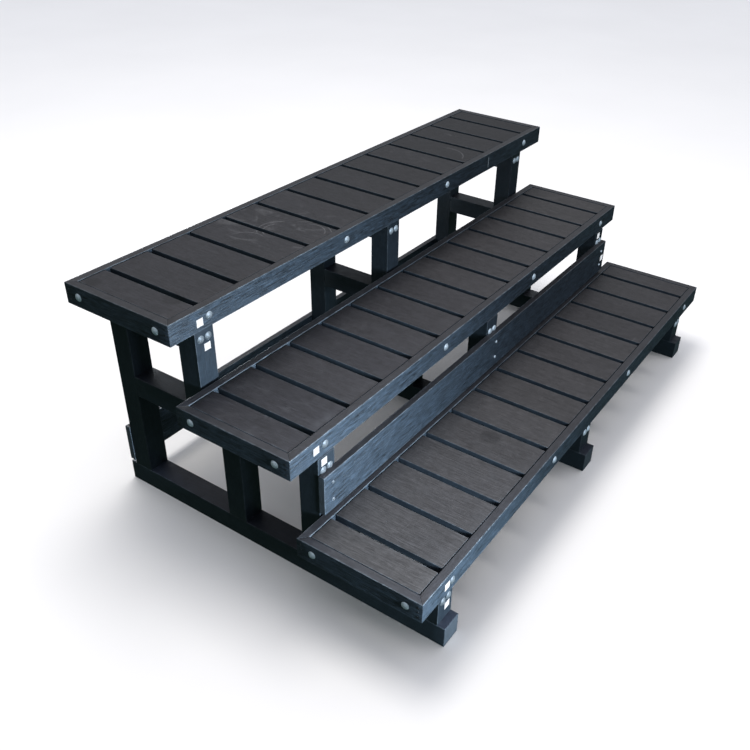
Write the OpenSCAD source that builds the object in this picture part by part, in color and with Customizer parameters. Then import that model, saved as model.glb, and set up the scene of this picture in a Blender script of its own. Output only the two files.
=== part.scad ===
// Three-tread spa steps in solid recycled-plastic timber.
// Three side frames carry three slatted treads. A riser board and a rear brace tie the frames together.
// +X runs along the treads to the user's right, +Y points from the front to the back, +Z is up.
// The origin lies on the ground at the centre of the footprint.

/* [Treads] */
// Length of every tread
tread_length = 1800; // [1500:10:2400]
// Depth of every tread, from front edge to back edge
tread_depth = 344; // [330:1:345]
// Height from one tread top to the next, and from the ground to the first
tread_rise = 220; // [215:1:260]
// Horizontal distance between the lower and middle front edges
lower_going = 351; // [350:1:360]
// Horizontal distance between the middle and upper front edges
upper_going = 330; // [325:1:335]
// Height of the rim boards
rim_height = 56; // [50:1:60]
// Thickness of the rim boards
rim_thickness = 22; // [18:1:24]

/* [Slats] */
// Number of slats in a tread, of which the two end ones are cut narrower
slat_count = 14; // [14]
// Width of a full slat
slat_width = 116; // [100:1:117]
// Open drainage gap between slats
slat_gap = 16; // [10:1:16]
// Thickness of the slats
slat_thickness = 20; // [16:1:20]
// Width of the ledgers that carry the slat ends
ledger_width = 44; // [40:1:50]

/* [Frames] */
// Side of the square timber used for runners, posts and bearers
post_size = 60; // [60:1:62]
// Distance from a tread's end to the outer face of an end frame
frame_inset = 92; // [60:1:160]
// How far the bearers lie below the treads' rims, where the back ledgers reach down to them
bearer_drop = 12; // [4:1:16]
// Length of the runners on the ground
runner_length = 1038; // [1038:1:1060]
// How far the runners stand out ahead of the lower tread
runner_overhang = 8; // [8:1:30]
// Set-back of the lower post behind the lower tread's front edge
lower_setback = 13; // [5:1:20]
// How far the middle post stands out ahead of the middle tread's front edge
middle_reach = 2; // [1:1:5]
// Set-back of the upper post behind the upper tread's front edge
upper_setback = 24; // [24:1:30]
// Set-back of the support post behind the middle tread's front edge
support_setback = 246; // [200:1:280]
// Set-back of the rear post behind the upper tread's front edge
rear_setback = 269; // [240:1:269]

/* [Boards] */
// Height of the riser board and of the rear brace
board_height = 112; // [90:1:120]
// Thickness of the riser board and of the rear brace
board_thickness = 18; // [12:1:18]
// How far both boards reach past the outer faces of the end frames
board_overhang = 2; // [0:1:10]
// Gap between the lower tread and the riser board
riser_gap = 8; // [2:1:8]
// Height of the rear brace above the ground
brace_clearance = 71; // [62:1:120]

/* [Fasteners] */
// Diameter of a domed bolt head
bolt_head_d = 20.6; // [18:0.2:22]
// Height of a domed bolt head
bolt_head_h = 4.6; // [3:0.2:5]
// Diameter of a bolt shank
bolt_d = 8; // [6:1:8]
// Distance between the two bolts at the top of a post
bolt_spacing = 24; // [22:1:30]
// Depth of those bolts below the tread that the post carries
bolt_drop = 40; // [30:1:45]
// Distance of an end bolt from the tread's front or back edge
end_bolt_inset = 44; // [40:1:48]
// Diameter of a board screw's head
screw_head_d = 9; // [7:0.5:11]
// Distance between the two screws in a board at each frame
screw_spacing = 52; // [40:1:70]

/* [Hidden] */
$fn = 48;

FRAMES = ["left", "centre", "right"];
TREADS = ["lower", "middle", "upper"];

// Plan positions of the treads, front edges first
runner_front = -runner_length / 2;
lower_front = runner_front + runner_overhang;
middle_front = lower_front + lower_going;
upper_front = middle_front + upper_going;
tread_fronts = [lower_front, middle_front, upper_front];

// Plan positions of the post front faces
lower_post_y = lower_front + lower_setback;
middle_post_y = middle_front - middle_reach;
support_post_y = middle_front + support_setback;
upper_post_y = upper_front + upper_setback;
rear_post_y = upper_front + rear_setback;

// Frame centres along the treads
frame_reach = tread_length / 2 - frame_inset - post_size / 2;
frame_centres = [-frame_reach, 0, frame_reach];

// Joints between tread pieces are left this far open
joint_gap = 0.5;
slat_pitch = slat_width + slat_gap;
inner_reach = tread_length / 2 - rim_thickness;
inner_depth = tread_depth - 2 * rim_thickness;
ledger_height = rim_height - slat_thickness;

// Bolts and screws
hole_gap = 1;
washer_d = 16;
washer_t = 1.6;
nut_af = 13;
nut_h = 6.5;
rail_bolt_reach = rim_thickness + ledger_width + washer_t + nut_h + 3;
end_bolt_reach = rim_thickness + 40;
post_bolt_reach = post_size + 45;
rail_bolt_count = 4;
board_screw_d = 5;
board_screw_reach = board_thickness + 40;
screw_head_h = 2;
corner_screw_d = 3;
corner_head_d = 5;
corner_head_h = 0.5;
corner_screw_reach = rim_thickness + 25;
corner_screw_pitch = 14;
board_reach = frame_reach + post_size / 2 + board_overhang;
riser_z = tread_rise + riser_gap;

// Blank square labels, and where they sit beside the left bolt of each front rail
label_size = 20;
label_thickness = 0.3;
rail_label_dx = [-21, -32, -30];
rail_label_dz = [-1, 0, -6];

timber = [0.13, 0.14, 0.16];
timber_dark = [0.09, 0.10, 0.12];
zinc = [0.70, 0.74, 0.78];
paper = [0.95, 0.95, 0.95];

// Height of a tread's top, and of the underside that its frame carries
function tread_top(t) = (t + 1) * tread_rise;
function tread_underside(t) = tread_top(t) - rim_height;
// Top of the bearer under tread t
function bearer_top(t) = tread_underside(t) - bearer_drop;
// Front face of the post that carries tread t
function post_front(t) = [lower_post_y, middle_post_y, upper_post_y][t];
// Evenly spaced positions of the bolts along a rail
function rail_bolt_x(i) = frame_reach * (2 * i / (rail_bolt_count - 1) - 1);
function rail_bolt_z(t) = tread_top(t) - rim_height / 2;

// ---- Repeated shapes ----

// Square timber standing up, its front face at y
module upright(frame, y, z_low, z_high) {
    translate([frame_centres[frame] - post_size / 2, y, z_low])
        cube([post_size, post_size, z_high - z_low]);
}

// Square timber lying front to back
module lying(frame, y_front, y_back, z_low) {
    translate([frame_centres[frame] - post_size / 2, y_front, z_low])
        cube([post_size, y_back - y_front, post_size]);
}

// Domed head with a shank behind it: the head stands towards -Z, the shank runs along +Z
module domed_bolt(shank) {
    sphere_r = (pow(bolt_head_d / 2, 2) + pow(bolt_head_h, 2)) / (2 * bolt_head_h);
    intersection() {
        translate([0, 0, sphere_r - bolt_head_h])
            sphere(r = sphere_r);
        translate([0, 0, -bolt_head_h])
            cylinder(d = bolt_head_d, h = bolt_head_h);
    }
    cylinder(d = bolt_d, h = shank);
}

// Flat-headed screw, in the same direction as a bolt
module board_screw() {
    translate([0, 0, -screw_head_h])
        cylinder(d1 = screw_head_d - 2, d2 = screw_head_d, h = screw_head_h);
    cylinder(d = board_screw_d, h = board_screw_reach);
}

module corner_screw() {
    translate([0, 0, -corner_head_h])
        cylinder(d = corner_head_d, h = corner_head_h);
    cylinder(d = corner_screw_d, h = corner_screw_reach);
}

// Turns +Z towards the back, the front, the right or the left
module facing_back() {
    rotate([-90, 0, 0]) children();
}

module facing_front() {
    rotate([90, 0, 0]) children();
}

module facing_right() {
    rotate([0, 90, 0]) children();
}

module facing_left() {
    rotate([0, -90, 0]) children();
}

// ---- Fastener places, used for the fasteners and for their holes ----

// Rail bolts of tread t, driven in from the front rail
module at_front_rail_bolts(t) {
    for (i = [0 : rail_bolt_count - 1])
        translate([rail_bolt_x(i), tread_fronts[t], rail_bolt_z(t)])
            facing_back() children();
}

// Rail bolts of tread t, driven in from the back rail
module at_back_rail_bolts(t) {
    for (i = [0 : rail_bolt_count - 1])
        translate([rail_bolt_x(i), tread_fronts[t] + tread_depth, rail_bolt_z(t)])
            facing_front() children();
}

// Bolts through the end boards of tread t into the ledgers
module at_end_bolts(t) {
    for (y = [end_bolt_inset, tread_depth - end_bolt_inset]) {
        translate([-tread_length / 2, tread_fronts[t] + y, rail_bolt_z(t)])
            facing_right() children();
        translate([tread_length / 2, tread_fronts[t] + y, rail_bolt_z(t)])
            facing_left() children();
    }
}

// Small screws through the end boards of tread t into the ends of the rails
module at_corner_screws(t) {
    for (y = [rim_thickness / 2, tread_depth - rim_thickness / 2])
        for (k = [-1 : 1]) {
            z = rail_bolt_z(t) + k * corner_screw_pitch;
            translate([-tread_length / 2, tread_fronts[t] + y, z])
                facing_right() children();
            translate([tread_length / 2, tread_fronts[t] + y, z])
                facing_left() children();
        }
}

// Pair of bolts through the post under tread t into the bearer behind it
module at_post_bolts(frame, t) {
    for (side = [-1, 1])
        translate([
            frame_centres[frame] + side * bolt_spacing / 2,
            post_front(t),
            tread_underside(t) - bolt_drop
        ])
            facing_back() children();
}

// Two screws through the riser board into the middle post
module at_riser_screws(frame) {
    for (side = [-1, 1])
        translate([
            frame_centres[frame],
            middle_post_y - board_thickness,
            riser_z + board_height / 2 + side * screw_spacing / 2
        ])
            facing_back() children();
}

// Two screws through the rear brace into the rear post
module at_brace_screws(frame) {
    for (side = [-1, 1])
        translate([
            frame_centres[frame],
            rear_post_y + post_size + board_thickness,
            brace_clearance + board_height / 2 + side * screw_spacing / 2
        ])
            facing_front() children();
}

// Straight hole for a shank, open at the face that the fastener enters
module hole(d, depth) {
    translate([0, 0, -1])
        cylinder(d = d + hole_gap, h = depth + 2);
}

// ---- Side frames ----

module runner(frame) {
    color(timber_dark)
        lying(frame, runner_front, runner_front + runner_length, 0);
}

// Post under the front edge of the lower tread
module lower_post(frame) {
    color(timber)
        difference() {
            upright(frame, lower_post_y, post_size, tread_underside(0));
            at_post_bolts(frame, 0) hole(bolt_d, post_bolt_reach);
        }
}

// Post under the front edge of the middle tread, which also carries the riser board
module middle_post(frame) {
    color(timber)
        difference() {
            upright(frame, middle_post_y, post_size, tread_underside(1));
            at_post_bolts(frame, 1) hole(bolt_d, post_bolt_reach);
            at_riser_screws(frame) hole(board_screw_d, board_screw_reach);
        }
}

// Short post that props the middle bearer
module support_post(frame) {
    color(timber)
        upright(frame, support_post_y, post_size, bearer_top(1) - post_size);
}

// Post on the middle bearer, under the front edge of the upper tread
module upper_post(frame) {
    color(timber)
        difference() {
            upright(frame, upper_post_y, bearer_top(1), tread_underside(2));
            at_post_bolts(frame, 2) hole(bolt_d, post_bolt_reach);
        }
}

module rear_post(frame) {
    color(timber)
        difference() {
            upright(frame, rear_post_y, post_size, bearer_top(2));
            at_brace_screws(frame) hole(board_screw_d, board_screw_reach);
        }
}

// Bearer under the lower tread, between the lower and middle posts
module lower_bearer(frame) {
    color(timber_dark)
        difference() {
            lying(frame, lower_post_y + post_size, middle_post_y, bearer_top(0) - post_size);
            at_post_bolts(frame, 0) hole(bolt_d, post_bolt_reach);
        }
}

// Bearer under the middle tread, which runs on to the rear post
module middle_bearer(frame) {
    color(timber_dark)
        difference() {
            lying(frame, middle_post_y + post_size, rear_post_y, bearer_top(1) - post_size);
            at_post_bolts(frame, 1) hole(bolt_d, post_bolt_reach);
        }
}

// Bearer under the upper tread, between the upper and rear posts
module upper_bearer(frame) {
    color(timber_dark)
        difference() {
            lying(frame, upper_post_y + post_size, rear_post_y, bearer_top(2) - post_size);
            at_post_bolts(frame, 2) hole(bolt_d, post_bolt_reach);
        }
}

// ---- Treads ----

// Long rim board with mitred ends, its outer face at y = 0 and its inner face towards +Y
module long_rim() {
    linear_extrude(rim_height)
        polygon([
            [-tread_length / 2 + joint_gap, 0],
            [tread_length / 2 - joint_gap, 0],
            [tread_length / 2 - rim_thickness - joint_gap, rim_thickness],
            [-tread_length / 2 + rim_thickness + joint_gap, rim_thickness]
        ]);
}

// End rim board with mitred ends, its outer face at x = 0 and its inner face towards +X
module end_rim() {
    linear_extrude(rim_height)
        polygon([
            [0, 0],
            [rim_thickness, rim_thickness],
            [rim_thickness, tread_depth - rim_thickness],
            [0, tread_depth]
        ]);
}

module front_rail(t) {
    color(timber)
        difference() {
            translate([0, tread_fronts[t], tread_underside(t)])
                long_rim();
            at_front_rail_bolts(t) hole(bolt_d, rail_bolt_reach);
            at_corner_screws(t) hole(corner_screw_d, corner_screw_reach);
        }
}

module back_rail(t) {
    color(timber)
        difference() {
            translate([0, tread_fronts[t] + tread_depth, tread_underside(t)])
                mirror([0, 1, 0]) long_rim();
            at_back_rail_bolts(t) hole(bolt_d, rail_bolt_reach);
            at_corner_screws(t) hole(corner_screw_d, corner_screw_reach);
        }
}

module left_end(t) {
    color(timber)
        difference() {
            translate([-tread_length / 2, tread_fronts[t], tread_underside(t)])
                end_rim();
            at_end_bolts(t) hole(bolt_d, end_bolt_reach);
            at_corner_screws(t) hole(corner_screw_d, corner_screw_reach);
        }
}

module right_end(t) {
    color(timber)
        difference() {
            translate([tread_length / 2, tread_fronts[t], tread_underside(t)])
                mirror([1, 0, 0]) end_rim();
            at_end_bolts(t) hole(bolt_d, end_bolt_reach);
            at_corner_screws(t) hole(corner_screw_d, corner_screw_reach);
        }
}

// Slats laid front to back with open gaps; the end ones are cut to what is left of the rim
module slats(t) {
    reach = inner_reach - joint_gap;
    color(timber)
        for (i = [0 : slat_count - 1]) {
            x_low = max(-reach, (i - slat_count / 2) * slat_pitch + slat_gap / 2);
            x_high = min(reach, (i + 1 - slat_count / 2) * slat_pitch - slat_gap / 2);
            translate([
                x_low,
                tread_fronts[t] + rim_thickness + joint_gap,
                tread_top(t) - slat_thickness
            ])
                cube([x_high - x_low, inner_depth - 2 * joint_gap, slat_thickness]);
        }
}

// Ledger along the inside of a rail, under the slat ends
module front_ledger(t) {
    color(timber_dark)
        difference() {
            translate([-inner_reach, tread_fronts[t] + rim_thickness, tread_underside(t)])
                cube([2 * inner_reach, ledger_width, ledger_height]);
            at_front_rail_bolts(t) hole(bolt_d, rail_bolt_reach);
            at_end_bolts(t) hole(bolt_d, end_bolt_reach);
        }
}

// Taller than the front one, so that it rests on the bearers
module back_ledger(t) {
    ledger_front = tread_fronts[t] + tread_depth - rim_thickness - ledger_width;
    color(timber_dark)
        difference() {
            translate([-inner_reach, ledger_front, bearer_top(t)])
                cube([2 * inner_reach, ledger_width, ledger_height + bearer_drop]);
            at_back_rail_bolts(t) hole(bolt_d, rail_bolt_reach);
            at_end_bolts(t) hole(bolt_d, end_bolt_reach);
        }
}

// ---- Long boards ----

// Board that closes the step between the lower and middle treads
module riser_board() {
    color(timber)
        difference() {
            translate([-board_reach, middle_post_y - board_thickness, riser_z])
                cube([2 * board_reach, board_thickness, board_height]);
            for (frame = [0 : 2])
                at_riser_screws(frame) hole(board_screw_d, board_screw_reach);
        }
}

// Board low on the backs of the rear posts
module rear_brace() {
    color(timber)
        difference() {
            translate([-board_reach, rear_post_y + post_size, brace_clearance])
                cube([2 * board_reach, board_thickness, board_height]);
            for (frame = [0 : 2])
                at_brace_screws(frame) hole(board_screw_d, board_screw_reach);
        }
}

// ---- Fasteners and labels ----

module rail_bolts() {
    color(zinc)
        for (t = [0 : 2]) {
            at_front_rail_bolts(t) domed_bolt(rail_bolt_reach);
            at_back_rail_bolts(t) domed_bolt(rail_bolt_reach);
        }
}

// Washer and hexagonal nut on the inner face of the ledger
module rail_nut() {
    translate([0, 0, rim_thickness + ledger_width])
        difference() {
            union() {
                cylinder(d = washer_d, h = washer_t);
                rotate([0, 0, 30])
                    cylinder(d = nut_af / cos(30), h = washer_t + nut_h, $fn = 6);
            }
            translate([0, 0, -1])
                cylinder(d = bolt_d + hole_gap / 2, h = washer_t + nut_h + 2);
        }
}

module rail_nuts() {
    color(zinc)
        for (t = [0 : 2]) {
            at_front_rail_bolts(t) rail_nut();
            at_back_rail_bolts(t) rail_nut();
        }
}

module end_bolts() {
    color(zinc)
        for (t = [0 : 2])
            at_end_bolts(t) domed_bolt(end_bolt_reach);
}

module post_bolts() {
    color(zinc)
        for (frame = [0 : 2])
            for (t = [0 : 2])
                at_post_bolts(frame, t) domed_bolt(post_bolt_reach);
}

module board_screws() {
    color(zinc)
        for (frame = [0 : 2]) {
            at_riser_screws(frame) board_screw();
            at_brace_screws(frame) board_screw();
        }
}

module corner_screws() {
    color(timber_dark)
        for (t = [0 : 2])
            at_corner_screws(t) corner_screw();
}

// Blank label on a face that looks towards the front, centred at x and z
module label(x, face_y, z) {
    translate([x - label_size / 2, face_y - label_thickness, z - label_size / 2])
        cube([label_size, label_thickness, label_size]);
}

module labels() {
    left_x = frame_centres[0];
    right_x = frame_centres[2];
    middle_z = tread_underside(1) - 16;
    color(paper) {
        for (t = [0 : 2])
            label(left_x + rail_label_dx[t], tread_fronts[t], rail_bolt_z(t) + rail_label_dz[t]);
        label(left_x + 8, lower_post_y, tread_underside(0) - bolt_drop - 26);
        label(left_x - 8, middle_post_y, middle_z);
        label(left_x + 6, upper_post_y, tread_underside(2) - bolt_drop - 26);
        label(right_x - 6, middle_post_y, middle_z);
        label(right_x + 12, middle_post_y - board_thickness, riser_z + board_height / 2 - 3);
    }
}

for (frame = [0 : 2]) {
    runner(frame);
    lower_post(frame);
    middle_post(frame);
    support_post(frame);
    upper_post(frame);
    rear_post(frame);
    lower_bearer(frame);
    middle_bearer(frame);
    upper_bearer(frame);
}
for (t = [0 : 2]) {
    front_rail(t);
    back_rail(t);
    left_end(t);
    right_end(t);
    slats(t);
    front_ledger(t);
    back_ledger(t);
}
riser_board();
rear_brace();
rail_bolts();
rail_nuts();
end_bolts();
post_bolts();
board_screws();
corner_screws();
labels();
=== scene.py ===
"""Spa steps in dark recycled-plastic timber: rounded, embossed boards on the CAD frame."""

import math
import random

import bmesh
import bpy
from mathutils import Matrix, Vector, noise


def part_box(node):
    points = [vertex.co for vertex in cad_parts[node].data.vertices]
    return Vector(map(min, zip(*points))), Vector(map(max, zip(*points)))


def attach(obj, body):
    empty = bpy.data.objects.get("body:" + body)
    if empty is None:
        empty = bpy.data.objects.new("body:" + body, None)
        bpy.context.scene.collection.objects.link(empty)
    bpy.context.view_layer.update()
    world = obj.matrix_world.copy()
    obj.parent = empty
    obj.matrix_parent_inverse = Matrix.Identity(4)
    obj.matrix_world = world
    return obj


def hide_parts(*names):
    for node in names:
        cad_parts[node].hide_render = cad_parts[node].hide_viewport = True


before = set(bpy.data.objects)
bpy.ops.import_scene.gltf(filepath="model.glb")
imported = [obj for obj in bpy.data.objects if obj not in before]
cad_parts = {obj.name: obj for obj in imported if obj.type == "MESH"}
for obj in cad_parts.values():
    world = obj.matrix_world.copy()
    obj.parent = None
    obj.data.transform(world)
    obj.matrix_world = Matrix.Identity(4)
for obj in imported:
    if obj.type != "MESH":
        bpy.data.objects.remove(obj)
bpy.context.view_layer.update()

MM = 0.001
FRAMES = ("left", "centre", "right")
TREADS = ("lower", "middle", "upper")
POSTS = ("lower_post", "middle_post", "support_post", "upper_post", "rear_post")
LYING = ("runner", "lower_bearer", "middle_bearer", "upper_bearer")

# Timber: the radius of the edges, and how finely a bar is divided round them, across its faces and along it
EDGE_RADIUS = 1.6 * MM
RIM_RADIUS = 1.8 * MM
SLAT_RADIUS = 1.6 * MM
MITRE_RADIUS = 0.5 * MM
CORNER_STEPS = 4
FLAT_STEPS = 5
STATION_PITCH = 40 * MM
# Each face has a line of points this far in from its corners, which keeps the corners crisp, but no
# further in than this part of the face
HOLD = 1.5 * MM
HOLD_LIMIT = 0.2
# Faces sink in slow waves: how deep, how much of that in the middle of a wave, how fast the waves change
# in each metre along and across the bar, and how far from a square or mitred end they reach full depth
SINK_DEPTH = 0.5 * MM
MEAN_SINK = 0.5
WAVE_ALONG = 5
WAVE_ACROSS = 22
SQUARE_END_CALM = 30 * MM
MITRED_END_CALM = 90 * MM
# The slant of a mitre fades out this many bar depths in from the end
MITRE_REACH = 4
# Edge wear and painted highlight, from 0 to 1: where a rounded corner meets a face, and at least this much
# round a bar's ends
CORNER_FLANK_WEAR_AND_HIGHLIGHT = 0.35
END_WEAR_AND_HIGHLIGHT = 0.6
# Each bar takes its own part of the noise, up to this far along each axis
NOISE_SPREAD = 90
# X positions that agree to this many decimal places of a metre are one side of a slat
DECIMALS = 5

SEED = 7
rng = random.Random(SEED)


def edges_along_x(node):
    """Where the side faces of a CAD node's solids are along X, in order."""
    return sorted({round(v.co.x, DECIMALS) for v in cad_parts[node].data.vertices})


# ---------------------------------------------------------------- materials

# Timber colours, as linear red, green, blue and alpha. A timber's side and top colours are one plastic
# coloured apart as painted light: bluish sides for the light from the front, plainer tops for the warmer
# light from above
SIDE = (0.016, 0.023, 0.032, 1)
TOP = (0.0175, 0.0176, 0.0205, 1)
SLAT_TOP = (0.0152, 0.0149, 0.0180, 1)
FRAME_SIDE = (0.0095, 0.014, 0.0195, 1)
FRAME_TOP = (0.010, 0.0125, 0.019, 1)
CUT_END_COLOUR = (0.022, 0.029, 0.038, 1)
# A pale warm painted sheen, blended onto tops by the painted light value
PAINTED_SHEEN_COLOUR = (0.036, 0.0335, 0.0325, 1)
SMUDGE_COLOUR = (0.058, 0.059, 0.063, 1)
SCUFF_COLOUR = (0.20, 0.20, 0.20, 1)
SPECK_COLOUR = (0.4, 0.4, 0.4, 1)
# Edge paling: partly wear, partly a painted highlight along the rounded edges
EDGE_WEAR_AND_HIGHLIGHT_COLOUR = (0.13, 0.155, 0.18, 1)
STAIN_COLOUR = (0.004, 0.004, 0.005, 1)
SCRATCH_COLOUR = (0.10, 0.10, 0.105, 1)
RIM_SCRATCH_COLOUR = (0.30, 0.33, 0.36, 1)
# Steel, label and floor: a darker and a paler colour that mottle together, and the zinc's white bloom
ZINC_COLOURS = ((0.42, 0.49, 0.55, 1), (0.58, 0.66, 0.73, 1))
ZINC_BLOOM_COLOUR = (0.72, 0.77, 0.82, 1)
DARK_STEEL_COLOURS = ((0.015, 0.017, 0.02, 1), (0.09, 0.095, 0.1, 1))
FILM_COLOURS = ((0.90, 0.90, 0.92, 1), (0.97, 0.97, 0.98, 1))
FLOOR_COLOURS = ((0.80, 0.79, 0.78, 1), (0.85, 0.84, 0.83, 1))

# How deep the relief of each surface is
GRAIN_DEPTH = 3.2 * MM
PORE_DEPTH = 0.25 * MM
SAW_DEPTH = 0.6 * MM
FOAM_DEPTH = 0.4 * MM
BLOOM_DEPTH = 0.15 * MM
FILM_DEPTH = 0.1 * MM
# The wood grain: how far it wanders in metres, its shares of long ridges and fine lines, and how strongly
# its ridges pale the colour and change the roughness
GRAIN_WANDER = 0.014
RIDGE_SHARE = 0.55
FINE_SHARE = 0.45
GRAIN_SHADE = 6.5
GRAIN_ROUGHNESS = -0.3
# Lower than real plastic, because the timber in the photo reflects dark surroundings
TIMBER_IOR = 1.30
# The upward part of a face's normal where it starts to count as a top, and where it fully does
TOP_STARTS = 0.55
TOP_FULL = 0.9


class Nodes:
    """A small helper that builds one node tree."""

    def __init__(self, tree):
        self.tree = tree
        self.tree.nodes.clear()

    def add(self, kind, **settings):
        node = self.tree.nodes.new(kind)
        for key, value in settings.items():
            setattr(node, key, value)
        return node

    def link(self, source, target):
        self.tree.links.new(source, target)

    def put(self, value, socket):
        """A link if value is a socket, and otherwise a constant."""
        if isinstance(value, bpy.types.NodeSocket):
            self.link(value, socket)
        else:
            socket.default_value = value

    def coords(self, spread=40.0):
        """The piece's own coordinates, shifted by a random amount for each piece."""
        place = self.add("ShaderNodeTexCoord")
        who = self.add("ShaderNodeObjectInfo")
        shift = self.math("MULTIPLY", who.outputs["Random"], spread)
        total = self.add("ShaderNodeVectorMath", operation="ADD")
        self.link(place.outputs["Object"], total.inputs[0])
        self.link(shift, total.inputs[1])
        return total.outputs[0]

    def stretch(self, vector, scale, turn=(0, 0, 0)):
        node = self.add("ShaderNodeMapping")
        self.link(vector, node.inputs["Vector"])
        node.inputs["Scale"].default_value = scale
        node.inputs["Rotation"].default_value = [math.radians(a) for a in turn]
        return node.outputs[0]

    def noise(self, vector, scale=1.0, detail=4.0, rough=0.5, distortion=0.0):
        node = self.add("ShaderNodeTexNoise")
        self.link(vector, node.inputs["Vector"])
        node.inputs["Scale"].default_value = scale
        node.inputs["Detail"].default_value = detail
        node.inputs["Roughness"].default_value = rough
        node.inputs["Distortion"].default_value = distortion
        return node.outputs[0]

    def cells(self, vector, scale=1.0):
        node = self.add("ShaderNodeTexVoronoi")
        self.link(vector, node.inputs["Vector"])
        node.inputs["Scale"].default_value = scale
        return node.outputs["Distance"]

    def math(self, operation, a, b=0.0, clamp=False):
        node = self.add("ShaderNodeMath", operation=operation, use_clamp=clamp)
        self.put(a, node.inputs[0])
        self.put(b, node.inputs[1])
        return node.outputs[0]

    def remap(self, value, low, high, to_low=0.0, to_high=1.0):
        node = self.add("ShaderNodeMapRange", interpolation_type="SMOOTHSTEP")
        self.put(value, node.inputs["Value"])
        node.inputs["From Min"].default_value = low
        node.inputs["From Max"].default_value = high
        node.inputs["To Min"].default_value = to_low
        node.inputs["To Max"].default_value = to_high
        return node.outputs["Result"]

    def blend(self, factor, a, b, mode="MIX"):
        node = self.add("ShaderNodeMix", data_type="RGBA", blend_type=mode)
        self.put(factor, node.inputs["Factor"])
        self.put(a, node.inputs[6])
        self.put(b, node.inputs[7])
        return node.outputs[2]

    def bump(self, height, strength, distance, under=None):
        node = self.add("ShaderNodeBump")
        self.put(height, node.inputs["Height"])
        node.inputs["Strength"].default_value = strength
        node.inputs["Distance"].default_value = distance
        if under is not None:
            self.link(under, node.inputs["Normal"])
        return node.outputs[0]

    def facing_up(self):
        """1 on faces that look up, 0 on upright ones."""
        geometry = self.add("ShaderNodeNewGeometry")
        split = self.add("ShaderNodeSeparateXYZ")
        self.link(geometry.outputs["Normal"], split.inputs[0])
        return self.remap(split.outputs[2], TOP_STARTS, TOP_FULL)

    def attribute(self, name):
        """A value that bar() stored in the mesh."""
        return self.add("ShaderNodeAttribute", attribute_name=name).outputs["Fac"]

    def shaded(self, colour, factor):
        """The colour made lighter or darker by a plain number."""
        grey = self.add("ShaderNodeCombineColor")
        for socket in grey.inputs[:3]:
            self.link(factor, socket)
        return self.blend(1.0, colour, grey.outputs[0], "MULTIPLY")


def new_material(name):
    """An empty node material with one Principled shader."""
    mat = bpy.data.materials.new(name)
    mat.use_nodes = True
    n = Nodes(mat.node_tree)
    n.mat = mat
    n.bsdf = n.add("ShaderNodeBsdfPrincipled")
    n.link(n.bsdf.outputs[0], n.add("ShaderNodeOutputMaterial").inputs[0])
    return n


# Marks on the treads, placed by slat: the tread, the slat number counted from the left (a fraction lies
# between two slats) and how far along it, from 0 at the front to 1 at the back. A scratch is an arc with
# a radius and the angles in degrees that it runs between; a stain is dark and round and has a radius.
SLAT_COUNT = 14
SCRATCHES = [
    ("upper", 10.6, 0.35, 80 * MM, -85, 25),
    ("upper", 12.0, 0.65, 20 * MM, -60, 50),
    ("upper", 4.7, 0.40, 60 * MM, 20, 150),
    ("upper", 4.7, 0.40, 45 * MM, 40, 170),
    ("upper", 4.9, 0.20, 75 * MM, -60, 60),
    ("upper", 5.0, 0.20, 50 * MM, -80, 40),
    ("upper", 3.9, 0.50, 55 * MM, -30, 80),
]
STAINS = [
    ("upper", 1.4, 0.20, 30 * MM),
    ("upper", 1.0, 0.90, 24 * MM),
    ("lower", 5.2, 0.50, 35 * MM),
]
# Half the width of a scratch, and the degrees over which it fades at each end
SCRATCH_HALF_WIDTH = 1.3 * MM
SCRATCH_FADE = 20
# The part of a stain's radius that is fully dark, and how dark it is there
STAIN_CORE = 0.6
STAIN_STRENGTH = 0.45
# One upright scratch on the front of the upper rim: its slat number, the parts of the rim's height that it
# runs between, and the length of its faded ends
RIM_SCRATCH_AT = 11.45
RIM_SCRATCH_SPAN = (0.15, 0.85)
RIM_SCRATCH_HALF_WIDTH = 2 * SCRATCH_HALF_WIDTH
RIM_SCRATCH_FADE = 5 * MM


def slat_spot(level, number, along):
    """The X and Y of a spot on a tread."""
    lo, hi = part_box(level + "_slats")
    edges = edges_along_x(level + "_slats")
    # From the left side of the second slat to that of the third
    pitch = edges[4] - edges[2]
    x = (lo[0] + hi[0]) / 2 + (number - (SLAT_COUNT + 1) / 2) * pitch
    return x, lo[1] + along * (hi[1] - lo[1])


def frame_place(n):
    """The X, Y and Z of the shaded point in the frame."""
    split = n.add("ShaderNodeSeparateXYZ")
    n.link(n.add("ShaderNodeNewGeometry").outputs["Position"], split.inputs[0])
    return split.outputs[0], split.outputs[1], split.outputs[2]


def from_spot(n, x, y):
    """How far the shaded point is from a spot, and in which direction."""
    at_x, at_y, _ = frame_place(n)
    dx = n.math("SUBTRACT", at_x, x)
    dy = n.math("SUBTRACT", at_y, y)
    square = n.math("ADD", n.math("MULTIPLY", dx, dx), n.math("MULTIPLY", dy, dy))
    return n.math("SQRT", square), n.math("ARCTAN2", dy, dx)


def slat_marks(n, colour, up):
    """Round dark stains, then thin pale scratches."""
    for level, number, along, radius in STAINS:
        away, _ = from_spot(n, *slat_spot(level, number, along))
        dark = n.remap(away, radius, STAIN_CORE * radius, 0.0, STAIN_STRENGTH)
        colour = n.blend(dark, colour, STAIN_COLOUR)
    for level, number, along, radius, start, end in SCRATCHES:
        away, angle = from_spot(n, *slat_spot(level, number, along))
        off_line = n.math("ABSOLUTE", n.math("SUBTRACT", away, radius))
        line = n.remap(off_line, SCRATCH_HALF_WIDTH, 0.0)
        begins = n.remap(angle, math.radians(start), math.radians(start + SCRATCH_FADE))
        ends = n.remap(angle, math.radians(end), math.radians(end - SCRATCH_FADE))
        arc = n.math("MULTIPLY", line, n.math("MULTIPLY", begins, ends))
        colour = n.blend(n.math("MULTIPLY", arc, up), colour, SCRATCH_COLOUR)
    return colour


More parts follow.
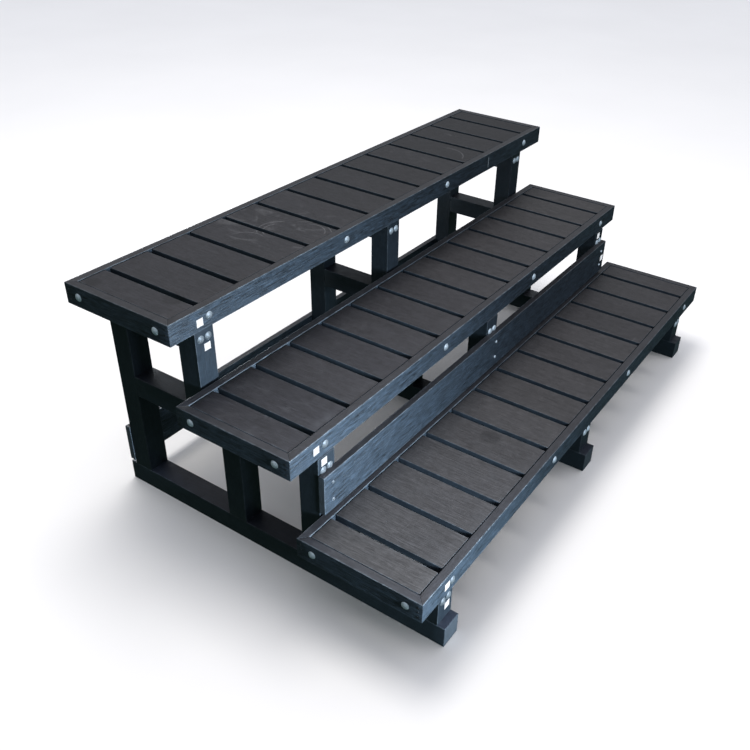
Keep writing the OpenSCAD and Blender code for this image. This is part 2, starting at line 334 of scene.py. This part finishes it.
def rim_marks(n, colour, _up):
    """One upright pale scratch on the front of the upper rim, whichever way the face looks."""
    lo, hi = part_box("upper_front_rail")
    x, _ = slat_spot("upper", RIM_SCRATCH_AT, 0)
    low, high = [lo[2] + part * (hi[2] - lo[2]) for part in RIM_SCRATCH_SPAN]
    at_x, at_y, at_z = frame_place(n)
    line = n.remap(n.math("ABSOLUTE", n.math("SUBTRACT", at_x, x)), RIM_SCRATCH_HALF_WIDTH, 0.0)
    begins = n.remap(at_z, low, low + RIM_SCRATCH_FADE)
    ends = n.remap(at_z, high, high - RIM_SCRATCH_FADE)
    span = n.math("MULTIPLY", begins, ends)
    in_front = n.math("LESS_THAN", at_y, hi[1])
    mark = n.math("MULTIPLY", n.math("MULTIPLY", line, span), in_front)
    return n.blend(mark, colour, RIM_SCRATCH_COLOUR)


def timber_material(name, side_colour, top_colour, emboss, top_emboss, rough, scuffs, wear, marks=None):
    """Moulded recycled plastic: embossed sides, matte tops, edges paled for wear and a painted highlight,
    smudges, scuffs and specks, and painted light that colours tops apart from sides and pales some slat
    tops and darkens others.
    """
    n = new_material(name)
    at = n.coords()
    up = n.facing_up()
    # Embossed wood grain: short wavy ridges along the bar, with a finer grain between them
    bend = n.noise(n.stretch(at, (14, 30, 30)), detail=2)
    wander = n.add("ShaderNodeVectorMath", operation="ADD")
    n.link(at, wander.inputs[0])
    n.link(n.math("MULTIPLY", bend, GRAIN_WANDER), wander.inputs[1])
    ridges = n.noise(n.stretch(wander.outputs[0], (17, 320, 320)), detail=4, rough=0.6)
    fine = n.noise(n.stretch(at, (26, 520, 520)), detail=3, rough=0.65)
    grain = n.math("ADD", n.math("MULTIPLY", ridges, RIDGE_SHARE), n.math("MULTIPLY", fine, FINE_SHARE))
    depth = n.remap(up, 0.0, 1.0, emboss, top_emboss)
    relief = n.math("MULTIPLY", n.math("SUBTRACT", grain, 0.5), depth)
    # The skin of the moulding: fine pores and a faint leathery mottle
    pores = n.noise(at, scale=750, detail=2)
    mottle = n.noise(at, scale=60, detail=6, rough=0.72)
    # Slow changes of tone along a board, and smudges left by hands and feet
    tone = n.noise(n.stretch(at, (2.2, 7, 7)), detail=3)
    smear = n.noise(n.stretch(at, (10, 15, 15), (0, 0, 35)), detail=7, rough=0.62, distortion=2.2)
    # Scuffs: thin pale strokes that run at an angle to the grain
    stroke_a = n.noise(n.stretch(at, (9, 300, 40), (0, 0, 28)), detail=3, rough=0.55)
    stroke_b = n.noise(n.stretch(at, (240, 11, 40), (0, 0, -22)), detail=3, rough=0.55)
    strokes = n.math("MAXIMUM", n.remap(stroke_a, 0.68, 0.76), n.remap(stroke_b, 0.69, 0.77))
    strokes = n.math("MULTIPLY", strokes, n.remap(n.noise(at, scale=7.0, detail=2), 0.5, 0.68))
    specks = n.remap(n.cells(at, 75.0), 0.05, 0.02)
    specks = n.math("MULTIPLY", specks, n.remap(n.noise(at, scale=23.0, detail=1), 0.58, 0.66))

    # Painted light: the tops and the sides of one plastic take different colours, for the warmer light from
    # above and the bluish light from the front
    base = n.blend(up, side_colour, top_colour)
    # Painted light on the tops: above 0 this value pales and warms a top, a painted sheen, and below 0 it
    # darkens it, a painted shade
    bleach = n.math("MULTIPLY", up, n.attribute("bleach"))
    base = n.blend(n.math("MAXIMUM", bleach, 0.0), base, PAINTED_SHEEN_COLOUR)
    shade = n.math("ADD", n.math("MULTIPLY", relief, GRAIN_SHADE), 1.0)
    shade = n.math("MULTIPLY", shade, n.math("ADD", n.math("MINIMUM", bleach, 0.0), 1.0))
    shade = n.math("MULTIPLY", shade, n.remap(tone, 0.3, 0.7, 0.93, 1.07))
    shade = n.math("MULTIPLY", shade, n.remap(mottle, 0.34, 0.66, 0.86, 1.14))
    colour = n.shaded(base, shade)
    smudges = n.math("MULTIPLY", n.remap(smear, 0.50, 0.74), n.math("MULTIPLY", up, n.attribute("dusty")))
    colour = n.blend(smudges, colour, SMUDGE_COLOUR)
    colour = n.blend(n.math("MULTIPLY", strokes, 0.22 * scuffs), colour, SCUFF_COLOUR)
    colour = n.blend(n.math("MULTIPLY", specks, 0.7 * scuffs), colour, SPECK_COLOUR)
    # Edges paled partly for wear and partly as a painted highlight where the rounded edges catch the light
    patchy = n.remap(n.noise(at, scale=60.0, detail=4), 0.35, 0.7, 0.25, 0.8)
    wear_and_highlight = n.math("MULTIPLY", n.attribute("edge"), patchy)
    colour = n.blend(n.math("MULTIPLY", wear_and_highlight, wear), colour, EDGE_WEAR_AND_HIGHLIGHT_COLOUR)
    if marks:
        colour = marks(n, colour, up)
    n.link(colour, n.bsdf.inputs["Base Color"])

    smeared = n.remap(smear, 0.35, 0.75, rough - 0.04, rough + 0.1)
    roughness = n.math("ADD", n.math("MULTIPLY", relief, GRAIN_ROUGHNESS), smeared)
    n.link(roughness, n.bsdf.inputs["Roughness"])
    n.bsdf.inputs["IOR"].default_value = TIMBER_IOR
    normal = n.bump(pores, 0.15, PORE_DEPTH)
    n.link(n.bump(relief, 1.0, GRAIN_DEPTH, normal), n.bsdf.inputs["Normal"])
    return n.mat


def cut_end_material(name, colour):
    """Sawn end of a moulded bar: a slightly foamed face with saw marks."""
    n = new_material(name)
    at = n.coords()
    saw = n.noise(n.stretch(at, (40, 520, 60), (25, 0, 0)), detail=4, rough=0.6)
    foam = n.cells(at, 520.0)
    tone = n.noise(at, scale=35.0, detail=3)
    shade = n.math("MULTIPLY", n.remap(saw, 0.3, 0.7, 0.78, 1.25), n.remap(tone, 0.3, 0.7, 0.85, 1.15))
    n.link(n.shaded(colour, shade), n.bsdf.inputs["Base Color"])
    n.bsdf.inputs["Roughness"].default_value = 0.62
    normal = n.bump(n.remap(foam, 0.1, 0.45), 0.25, FOAM_DEPTH)
    n.link(n.bump(saw, 0.5, SAW_DEPTH, normal), n.bsdf.inputs["Normal"])
    return n.mat


def zinc_material(name):
    """Dull galvanised steel with spangle and a little white bloom."""
    n = new_material(name)
    at = n.coords()
    spangle = n.cells(at, 420.0)
    bloom = n.noise(at, scale=240.0, detail=5, rough=0.65)
    colour = n.blend(n.remap(spangle, 0.1, 0.6), *ZINC_COLOURS)
    colour = n.blend(n.remap(bloom, 0.5, 0.72, 0.0, 0.55), colour, ZINC_BLOOM_COLOUR)
    n.link(colour, n.bsdf.inputs["Base Color"])
    n.link(n.remap(bloom, 0.3, 0.7, 0.75, 0.4), n.bsdf.inputs["Metallic"])
    n.link(n.remap(spangle, 0.1, 0.6, 0.42, 0.56), n.bsdf.inputs["Roughness"])
    n.link(n.bump(bloom, 0.25, BLOOM_DEPTH), n.bsdf.inputs["Normal"])
    return n.mat


def dark_steel_material(name):
    """Blackened screw heads, worn paler in places."""
    n = new_material(name)
    at = n.coords()
    wear = n.noise(at, scale=500.0, detail=4)
    n.link(n.blend(n.remap(wear, 0.5, 0.75), *DARK_STEEL_COLOURS), n.bsdf.inputs["Base Color"])
    n.bsdf.inputs["Metallic"].default_value = 0.6
    n.link(n.remap(wear, 0.3, 0.7, 0.4, 0.6), n.bsdf.inputs["Roughness"])
    return n.mat


def film_material(name):
    """Blank white label film, faintly mottled."""
    n = new_material(name)
    at = n.coords(0.0)
    mottle = n.noise(at, scale=260.0, detail=4)
    n.link(n.blend(n.remap(mottle, 0.35, 0.7), *FILM_COLOURS), n.bsdf.inputs["Base Color"])
    n.link(n.remap(mottle, 0.3, 0.7, 0.28, 0.42), n.bsdf.inputs["Roughness"])
    n.link(n.bump(mottle, 0.08, FILM_DEPTH), n.bsdf.inputs["Normal"])
    return n.mat


# In each timber, wear sets how strongly the edges are paled, partly for wear and partly as a painted
# highlight
RIM = timber_material("rim_timber", SIDE, TOP, emboss=1.0, top_emboss=0.28, rough=0.46, scuffs=0.5,
                      wear=0.60, marks=rim_marks)
SLAT = timber_material("slat_timber", SIDE, SLAT_TOP, emboss=0.2, top_emboss=0.48, rough=0.54, scuffs=1.0,
                       wear=0.30, marks=slat_marks)
FRAME = timber_material("frame_timber", FRAME_SIDE, FRAME_TOP, emboss=0.22, top_emboss=0.15, rough=0.46,
                        scuffs=0.35, wear=0.30)
CUT_END = cut_end_material("cut_end", CUT_END_COLOUR)
ZINC = zinc_material("zinc")
DARK_STEEL = dark_steel_material("dark_steel")
FILM = film_material("label_film")


# ---------------------------------------------------------------- timber

# What turns a bar made along local X so that its grain runs along each axis of the frame
AXES = {
    "x": Matrix.Identity(4),
    "y": Matrix.Rotation(math.radians(90), 4, "Z"),
    "z": Matrix.Rotation(math.radians(-90), 4, "Y"),
}


def section(depth, height, radius):
    """Closed outline in local Y and Z: (y, z, inward normal y, inward normal z, 1 on the corners)."""
    points = []
    half_y, half_z = depth / 2 - radius, height / 2 - radius
    corners = [(1, 1, 0), (-1, 1, 90), (-1, -1, 180), (1, -1, 270)]
    for i, (sy, sz, start) in enumerate(corners):
        for k in range(CORNER_STEPS + 1):
            a = math.radians(start + 90 * k / CORNER_STEPS)
            middle = 1.0 - abs(2 * k / CORNER_STEPS - 1)
            points.append((sy * half_y + radius * math.cos(a), sz * half_z + radius * math.sin(a),
                           -math.cos(a), -math.sin(a),
                           CORNER_FLANK_WEAR_AND_HIGHLIGHT + (1 - CORNER_FLANK_WEAR_AND_HIGHLIGHT) * middle))
        ty, tz, _ = corners[(i + 1) % 4]
        a = math.radians(start + 90)
        first = (sy * half_y + radius * math.cos(a), sz * half_z + radius * math.sin(a))
        last = (ty * half_y + radius * math.cos(a), tz * half_z + radius * math.sin(a))
        run = math.dist(first, last)
        hold = min(HOLD_LIMIT, HOLD / run)
        between = [k / FLAT_STEPS for k in range(1, FLAT_STEPS)]
        for f in [hold] + [f for f in between if hold < f < 1 - hold] + [1 - hold]:
            points.append((first[0] + (last[0] - first[0]) * f, first[1] + (last[1] - first[1]) * f,
                           -math.cos(a), -math.sin(a), 0.0))
    return points


def stations(length, radius):
    """(position along X, how far the section is drawn in) from end to end, rounded at both ends."""
    half = length / 2
    ends = []
    for k in range(CORNER_STEPS + 1):
        a = math.radians(90 * k / CORNER_STEPS)
        ends.append((half - radius + radius * math.cos(a), radius * (1 - math.sin(a))))
    count = max(2, round((length - 2 * radius) / STATION_PITCH))
    inner = [(-half + radius + (length - 2 * radius) * i / count, 0.0) for i in range(1, count)]
    return [(-x, d) for x, d in ends] + inner + [(x, d) for x, d in reversed(ends)]


def bar_mesh(name, length, depth, height, radius, mitre, inner_edge, dusty, bleach):
    """The mesh of a bar along local X, with its edge wear and painted highlight, smudging and painted light
    stored by vertex and its ends in the second slot.
    """
    seed = Vector([rng.uniform(0, NOISE_SPREAD) for _ in range(3)])
    outline = section(depth, height, radius)
    calm_length = MITRED_END_CALM if mitre else SQUARE_END_CALM
    mesh = bmesh.new()
    edge_layer = mesh.verts.layers.float.new("edge")
    dusty_layer = mesh.verts.layers.float.new("dusty")
    painted_light_layer = mesh.verts.layers.float.new("bleach")
    rings = []
    for x, draw in stations(length, MITRE_RADIUS if mitre else radius):
        ring = []
        from_end = length / 2 - abs(x)
        calm = min(1.0, from_end / calm_length)
        shear = 1.0 - min(1.0, from_end / (MITRE_REACH * depth)) if mitre else 0.0
        for y, z, normal_y, normal_z, corner in outline:
            wave = noise.noise(Vector((x * WAVE_ALONG, y * WAVE_ACROSS, z * WAVE_ACROSS)) + seed)
            sink = SINK_DEPTH * calm * (1 - corner) * max(0.0, MEAN_SINK + wave)
            inward = draw + sink
            sunk_y, sunk_z = y + normal_y * inward, z + normal_z * inward
            reach = depth / 2 - mitre * sunk_y
            vert = mesh.verts.new((x - math.copysign(reach * shear, x), sunk_y, sunk_z))
            wear_and_highlight = corner if draw == 0 else max(corner, END_WEAR_AND_HIGHLIGHT)
            vert[edge_layer] = wear_and_highlight * (inner_edge if y * mitre < 0 else 1.0)
            vert[dusty_layer] = dusty
            vert[painted_light_layer] = bleach
            ring.append(vert)
        rings.append(ring)
    for a, b in zip(rings, rings[1:]):
        for i in range(len(a)):
            j = (i + 1) % len(a)
            mesh.faces.new((a[i], a[j], b[j], b[i]))
    for ring in (rings[0], rings[-1]):
        cap = mesh.faces.new(ring)
        cap.material_index = 1
    bmesh.ops.recalc_face_normals(mesh, faces=mesh.faces)
    for face in mesh.faces:
        face.smooth = face.material_index == 0
    data = bpy.data.meshes.new(name)
    mesh.to_mesh(data)
    mesh.free()
    return data


def bar(name, lo, hi, axis, nodes, slot, material, radius=EDGE_RADIUS, mitre=0.0, inner_edge=0.1,
        dusty=0.1, bleach=0.0):
    """A rounded moulded bar that fills the box lo..hi, its grain along the given axis.

    With a mitre of 1 or -1 its ends are cut at 45 degrees and local +Y or -Y is the long side,
    and inner_edge says how pale its short-side edges are, for wear and a painted highlight. From 0 to 1,
    dusty says how smudged its top is. bleach pales the top above 0, a painted sheen, and darkens it below
    0, a painted shade.
    """
    lo, hi = Vector(lo), Vector(hi)
    size = hi - lo
    length, depth, height = {
        "x": (size.x, size.y, size.z),
        "y": (size.y, size.x, size.z),
        "z": (size.z, size.y, size.x),
    }[axis]
    data = bar_mesh(name, length, depth, height, radius, mitre, inner_edge, dusty, bleach)
    data.materials.append(material)
    data.materials.append(CUT_END if not mitre else material)
    obj = bpy.data.objects.new(name, data)
    bpy.context.scene.collection.objects.link(obj)
    obj.matrix_world = Matrix.Translation((lo + hi) / 2) @ AXES[axis]
    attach(obj, "root")
    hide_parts(*nodes)


def bar_of(node, axis, slot, material, **options):
    """A bar that fills the box of one CAD node and replaces it."""
    lo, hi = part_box(node)
    bar(node + "_bar", lo, hi, axis, [node], slot, material, **options)


for side in FRAMES:
    for part in POSTS:
        bar_of(f"{side}_{part}", "z", "frame_timber", FRAME)
    for part in LYING:
        bar_of(f"{side}_{part}", "y", "frame_timber", FRAME)

for level in TREADS:
    bar_of(f"{level}_front_rail", "x", "rim_timber", RIM, radius=RIM_RADIUS, mitre=-1)
    # A back rail's inner edge, beside the slats, is paled fully: partly wear, partly a painted highlight
    bar_of(f"{level}_back_rail", "x", "rim_timber", RIM, radius=RIM_RADIUS, mitre=1, inner_edge=1.0)
    bar_of(f"{level}_left_end", "y", "rim_timber", RIM, radius=RIM_RADIUS, mitre=1)
    bar_of(f"{level}_right_end", "y", "rim_timber", RIM, radius=RIM_RADIUS, mitre=-1)
    bar_of(f"{level}_front_ledger", "x", "frame_timber", FRAME)
    bar_of(f"{level}_back_ledger", "x", "frame_timber", FRAME)

for board in ("riser_board", "rear_brace"):
    bar_of(board, "x", "rim_timber", RIM)


# ---------------------------------------------------------------- slats

# How much pale smudging a slat carries, and the slats that have more or less than usual
USUAL_SMUDGING = 0.12
SMUDGED = {
    ("upper", 1): 0.25,
    ("upper", 4): 0.60,
    ("upper", 5): 0.70,
    ("upper", 6): 0.35,
    ("upper", 10): 0.30,
    ("middle", 1): 0.45,
    ("middle", 2): 0.25,
    ("lower", 1): 0.06,
    ("lower", 2): 0.06,
}
# Painted light on the slat tops, from the left end to the right end of each tread: above 0 a painted sheen,
# below 0 a painted shade, varied by up to the spread from slat to slat
SLAT_PAINTED_LIGHT = {"upper": (0.0, -0.5), "middle": (0.0, 0.45), "lower": (0.58, 0.25)}
SLAT_PAINTED_LIGHT_SPREAD = 0.06
# The open seam between a slat and the rim around it
SEAM = 1.4 * MM
# How far a slat's top lies below its CAD solid's, in millimetres, between these two
SLAT_DROP = (1.0, 1.6)

for level in TREADS:
    node = level + "_slats"
    lo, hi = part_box(node)
    edges = edges_along_x(node)
    from_left, to_right = SLAT_PAINTED_LIGHT[level]
    for i in range(SLAT_COUNT):
        low_x = edges[2 * i] + (SEAM if i == 0 else 0)
        high_x = edges[2 * i + 1] - (SEAM if i == SLAT_COUNT - 1 else 0)
        drop = rng.uniform(*SLAT_DROP) * MM
        bleach = from_left + (to_right - from_left) * i / (SLAT_COUNT - 1)
        bleach += rng.uniform(-SLAT_PAINTED_LIGHT_SPREAD, SLAT_PAINTED_LIGHT_SPREAD)
        bar(f"{level}_slat_{i + 1:02d}", (low_x, lo[1] + SEAM, lo[2]), (high_x, hi[1] - SEAM, hi[2] - drop),
            "y", [node], "slat_timber", SLAT, radius=SLAT_RADIUS,
            dusty=SMUDGED.get((level, i + 1), USUAL_SMUDGING), bleach=bleach)


# ---------------------------------------------------------------- fasteners and labels

def dress(node, material):
    """A CAD node keeps its own mesh and takes a finish."""
    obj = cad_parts[node]
    obj.data.materials.clear()
    obj.data.materials.append(material)
    for polygon in obj.data.polygons:
        polygon.use_smooth = True


STEEL_NODES = ("rail_bolts", "rail_nuts", "end_bolts", "post_bolts", "board_screws")
for node in STEEL_NODES:
    dress(node, ZINC)
dress("corner_screws", DARK_STEEL)
dress("labels", FILM)


# ---------------------------------------------------------------- stage, lights and camera

FLOOR_HALF = 30.0


def floor_material():
    """Pale and matte, with a slow mottle."""
    n = new_material("floor")
    place = n.add("ShaderNodeTexCoord").outputs["Object"]
    mottle = n.noise(place, scale=1.3, detail=3)
    n.link(n.blend(mottle, *FLOOR_COLOURS), n.bsdf.inputs["Base Color"])
    n.bsdf.inputs["Roughness"].default_value = 0.95
    n.bsdf.inputs["Specular IOR Level"].default_value = 0.1
    return n.mat


floor_mesh = bpy.data.meshes.new("floor")
floor_corners = [(x * FLOOR_HALF, y * FLOOR_HALF, 0) for x, y in ((-1, -1), (1, -1), (1, 1), (-1, 1))]
floor_mesh.from_pydata(floor_corners, [], [(0, 1, 2, 3)])
floor = bpy.data.objects.new("floor", floor_mesh)
floor_mesh.materials.append(floor_material())
bpy.context.scene.collection.objects.link(floor)
# The ground around the steps is dark in their own reflections, as grass is, and pale to the camera
floor.visible_glossy = False
floor.visible_diffuse = False


def softbox(name, place, target, size, watts, colour, spread=180):
    """A rectangular light at a place, turned to a target, with its spread in degrees."""
    light = bpy.data.lights.new(name, "AREA")
    light.shape = "RECTANGLE"
    light.size, light.size_y = size
    light.energy = watts
    light.color = colour
    light.spread = math.radians(spread)
    obj = bpy.data.objects.new(name, light)
    bpy.context.scene.collection.objects.link(obj)
    obj.location = place
    obj.rotation_euler = (Vector(target) - Vector(place)).to_track_quat("-Z", "Y").to_euler()
    return obj


def link_light(light, state, *objects):
    """With state EXCLUDE the light passes these objects by, and with INCLUDE it lights nothing else."""
    group = bpy.data.collections.new(light.name + "_group")
    for obj in objects:
        group.objects.link(obj)
    for entry in group.collection_objects:
        entry.light_linking.link_state = state
    light.light_linking.receiver_collection = group


# The front light and the one for the labels stand in the same spot
FRONT_SPOT = {"place": (-0.9, -1.9, 1.10), "target": (0.1, -0.2, 0.30), "size": (0.6, 0.5), "spread": 120}
softbox("overhead", place=(0.3, 1.0, 4.6), target=(0, 0, 0.3), size=(2.2, 1.6), watts=120,
        colour=(1.0, 0.97, 0.93))
front = softbox("front", watts=13, colour=(0.76, 0.87, 1.0), **FRONT_SPOT)
near_left = softbox("near_left", place=(-0.95, -1.75, 0.66), target=(-0.86, -0.2, 0.38), size=(0.4, 0.3),
                    watts=19, colour=(0.78, 0.90, 1.0), spread=60)
labels_fill = softbox("labels_fill", watts=16, colour=(1.0, 0.97, 0.94), **FRONT_SPOT)
back = softbox("back", place=(0.3, 2.7, 0.38), target=(0, 0.4, 0.36), size=(1.8, 0.4), watts=45,
               colour=(0.86, 0.93, 1.0), spread=120)

passed_by = [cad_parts[node] for node in STEEL_NODES + ("labels",)]
passed_by += [bpy.data.objects[f"left_{part}_bar"] for part in ("rear_post", "support_post")]
link_light(front, "EXCLUDE", floor)
link_light(near_left, "EXCLUDE", floor, *passed_by)
link_light(labels_fill, "INCLUDE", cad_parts["labels"])
link_light(back, "EXCLUDE", floor)

# The sky: bright overhead, dark near the ground and on the left, and a plain pale backdrop to the camera
SKY = (0.91, 0.92, 1.0, 1)
LOW_SKY = (0.032, 0.055, 0.048, 1)
BACKDROP = (0.52, 0.53, 0.545, 1)
SKY_STRENGTH = 1.7
# The heights between which the sky brightens, the sides between which it does, from left to right, and how
# bright the left side still is
SKY_RISE = (0.05, 0.95)
SKY_SIDES = (-0.9, 0.1)
LEFT_SHARE = 0.15


def build_sky():
    """The world: a graded sky for the object, and the backdrop for the camera's own rays."""
    world = bpy.data.worlds.new("studio")
    bpy.context.scene.world = world
    world.use_nodes = True
    n = Nodes(world.node_tree)
    split = n.add("ShaderNodeSeparateXYZ")
    n.link(n.add("ShaderNodeTexCoord").outputs["Generated"], split.inputs[0])
    height = n.remap(split.outputs[2], *SKY_RISE)
    across = n.remap(split.outputs[0], *SKY_SIDES, LEFT_SHARE, 1.0)
    background = n.add("ShaderNodeBackground")
    sky = n.blend(n.math("MULTIPLY", height, across), LOW_SKY, SKY)
    seen = n.add("ShaderNodeLightPath").outputs["Is Camera Ray"]
    n.link(n.blend(seen, sky, BACKDROP), background.inputs["Color"])
    background.inputs["Strength"].default_value = SKY_STRENGTH
    n.link(background.outputs[0], n.add("ShaderNodeOutputWorld").inputs[0])


build_sky()
bpy.context.scene.view_settings.view_transform = "Standard"

# The viewpoint: in front of the left end, looking down along the treads. The eye is in metres, the turn in
# degrees, and the sensor and lens in millimetres.
EYE = (-1.953, -1.129, 1.605)
TURN = (55.92, -1.85, -56.32)
SENSOR_WIDTH = 36
LENS = 40.88
SHIFT = (-0.0479, 0.0124)
camera_data = bpy.data.cameras.new("camera")
camera_data.sensor_width = SENSOR_WIDTH
camera_data.lens = LENS
camera_data.shift_x, camera_data.shift_y = SHIFT
camera = bpy.data.objects.new("camera", camera_data)
camera.location = EYE
camera.rotation_euler = [math.radians(a) for a in TURN]
bpy.context.scene.collection.objects.link(camera)
bpy.context.scene.camera = camera
